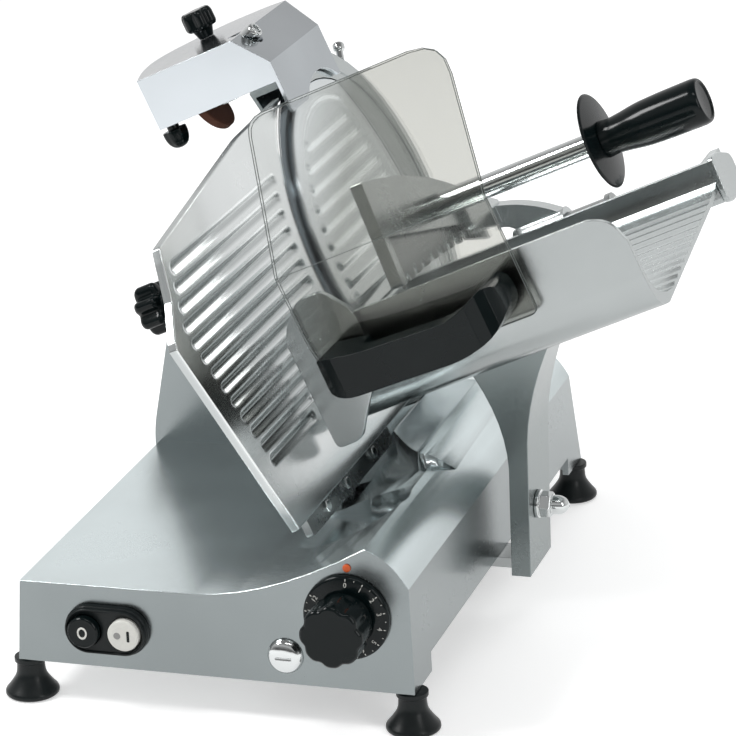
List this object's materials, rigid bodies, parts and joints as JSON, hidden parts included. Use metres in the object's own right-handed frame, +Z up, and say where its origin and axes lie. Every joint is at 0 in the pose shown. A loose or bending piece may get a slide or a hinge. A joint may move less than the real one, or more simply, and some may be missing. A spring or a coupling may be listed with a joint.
{
  "type": "gravity feed meat slicer",
  "caption": "Inclined electric food slicer: swept base, round blade with ribbed cover, ribbed gauge plate, sliding tray with clear guard and swinging pusher, sharpener on top.",
  "frame": {"origin": "on the table, under the middle of the machine's outer box", "axes": "+Z up, +Y from the operator's side with the dial towards the rear along the carriage travel, +X from the gauge side towards the tray"},
  "size_m": [0.5102, 0.5942, 0.4526],
  "materials": {
    "cast_body": "fine brushed, anodised",
    "cast_plate": "satin anodised",
    "polished_sheet": "polished",
    "blade_steel": "mirror ground",
    "bright_steel": "bright",
    "plain_steel": "satin",
    "cast_housing": "as cast",
    "motor_paint": "semi-gloss",
    "black_plastic": "gloss moulded",
    "white_plastic": "gloss moulded",
    "orange_plastic": "gloss moulded",
    "black_rubber": "matte moulded",
    "clear_sheet": "clear, slightly warm",
    "grinding_stone": "gritty"
  },
  "bodies": {
    "base": {"base_casting": "cast_body", "bottom_cover": "plain_steel", "foot_front_left": "black_rubber", "foot_front_right": "black_rubber", "foot_rear_left": "black_rubber", "foot_rear_right": "black_rubber", "switch_boot": "black_rubber", "index_dot": "orange_plastic", "front_plug": "bright_steel", "guide_rod": "bright_steel", "guide_track": "plain_steel", "gauge_rails": "plain_steel", "bearing_housing": "cast_housing", "bearing_front": "plain_steel", "bearing_rear": "plain_steel", "motor": "motor_paint", "drive_belt": "black_rubber", "ring_guard": "cast_plate", "blade_cover": "cast_plate", "tie_rod": "plain_steel", "slice_deflector": "plain_steel", "sharpener_housing": "polished_sheet", "sharpener_frame": "plain_steel", "ring_stud": "bright_steel", "cable_gland": "black_plastic"},
    "blade_unit": {"blade": "blade_steel", "blade_shaft": "plain_steel", "blade_pulley": "plain_steel"},
    "motor_rotor": {"motor_shaft": "plain_steel"},
    "carriage": {"slide_block": "plain_steel", "carriage_arm": "cast_plate", "arm_cap_nut": "bright_steel", "tray": "cast_plate", "tray_rail_cap": "cast_plate", "tray_bracket": "cast_plate", "tray_handle": "black_plastic", "finger_guard": "clear_sheet", "pusher_slide_rod": "bright_steel"},
    "pusher_slider": {"pusher_bush": "plain_steel"},
    "pusher": {"pusher_arm": "cast_plate", "pusher_plate": "cast_plate", "pusher_teeth": "plain_steel", "pusher_rod": "bright_steel", "pusher_disc": "black_plastic", "pusher_grip": "black_plastic"},
    "gauge": {"gauge_plate": "cast_plate", "gauge_foot": "plain_steel", "gauge_carrier": "plain_steel"},
    "dial": {"dial_flange": "black_plastic", "dial_knob": "black_plastic", "thickness_cam": "plain_steel"},
    "stop_push": {"stop_button": "black_plastic"},
    "start_push": {"start_button": "white_plastic"},
    "tie_knob_screw": {"tie_knob": "black_plastic"},
    "clamp_screw": {"clamp_knob": "black_plastic"},
    "lower_screw": {"lower_knob": "black_plastic"},
    "sharpener_push": {"push_pin": "bright_steel"},
    "grinder": {"grinding_wheel": "grinding_stone"},
    "honer": {"honing_wheel": "grinding_stone"}
  },
  "joints": [
    {"name": "blade_spin", "type": "hinge", "parent": "base", "child": "blade_unit", "pos_m": [-0.04719, 0.14815, 0.253], "axis": [0.9135, 0, 0.4067], "continuous": true},
    {"name": "motor_spin", "type": "hinge", "parent": "base", "child": "motor_rotor", "pos_m": [-0.00814, 0.14015, 0.1653], "axis": [0.9135, 0, 0.4067], "continuous": true},
    {"name": "carriage_slide", "type": "slide", "parent": "base", "child": "carriage", "axis": [0, 1, 0], "range_m": [-0.115, 0.165]},
    {"name": "pusher_slide", "type": "slide", "parent": "carriage", "child": "pusher_slider", "axis": [0.9135, 0, 0.4067], "range_m": [-0.062, 0.074]},
    {"name": "pusher_swing", "type": "hinge", "parent": "pusher_slider", "child": "pusher", "pos_m": [0.08847, 0.16315, 0.24334], "axis": [-0.9135, 0, -0.4067], "range_deg": [-4, 65]},
    {"name": "gauge_slide", "type": "slide", "parent": "base", "child": "gauge", "axis": [-0.9135, 0, -0.4067], "range_m": [0, 0.014]},
    {"name": "dial_turn", "type": "hinge", "parent": "base", "child": "dial", "pos_m": [0.05381, -0.25585, 0.088], "axis": [0, -1, 0], "range_deg": [0, 300]},
    {"name": "stop_press", "type": "slide", "parent": "base", "child": "stop_push", "axis": [0, 1, 0], "range_m": [0, 0.0025], "stiffness_N_per_m": 400},
    {"name": "start_press", "type": "slide", "parent": "base", "child": "start_push", "axis": [0, 1, 0], "range_m": [0, 0.0025], "stiffness_N_per_m": 400},
    {"name": "tie_knob_turn", "type": "hinge", "parent": "base", "child": "tie_knob_screw", "pos_m": [-0.23447, 0.14815, 0.16962], "axis": [0.9135, 0, 0.4067], "continuous": true},
    {"name": "clamp_knob_turn", "type": "hinge", "parent": "base", "child": "clamp_screw", "pos_m": [-0.19755, 0.19415, 0.39403], "axis": [-0.4067, 0, 0.9135], "continuous": true},
    {"name": "lower_knob_turn", "type": "hinge", "parent": "base", "child": "lower_screw", "pos_m": [-0.18777, 0.09515, 0.33271], "axis": [-0.4067, 0, 0.9135], "continuous": true},
    {"name": "sharpener_press", "type": "slide", "parent": "base", "child": "sharpener_push", "axis": [-0.7193, 0, -0.6947], "range_m": [0, 0.008], "stiffness_N_per_m": 300, "springref_m": -0.002},
    {"name": "grinder_spin", "type": "hinge", "parent": "base", "child": "grinder", "pos_m": [-0.16443, 0.11215, 0.35405], "axis": [0.7193, 0, 0.6947], "continuous": true},
    {"name": "honer_spin", "type": "hinge", "parent": "base", "child": "honer", "pos_m": [-0.1754, 0.19815, 0.36887], "axis": [0.7193, 0, 0.6947], "continuous": true}
  ],
  "couplings": [
    {"joint": "motor_spin", "follows": "blade_spin", "ratio": 2.8},
    {"joint": "dial_turn", "follows": "gauge_slide", "rad_per_m": 373.9}
  ]
}
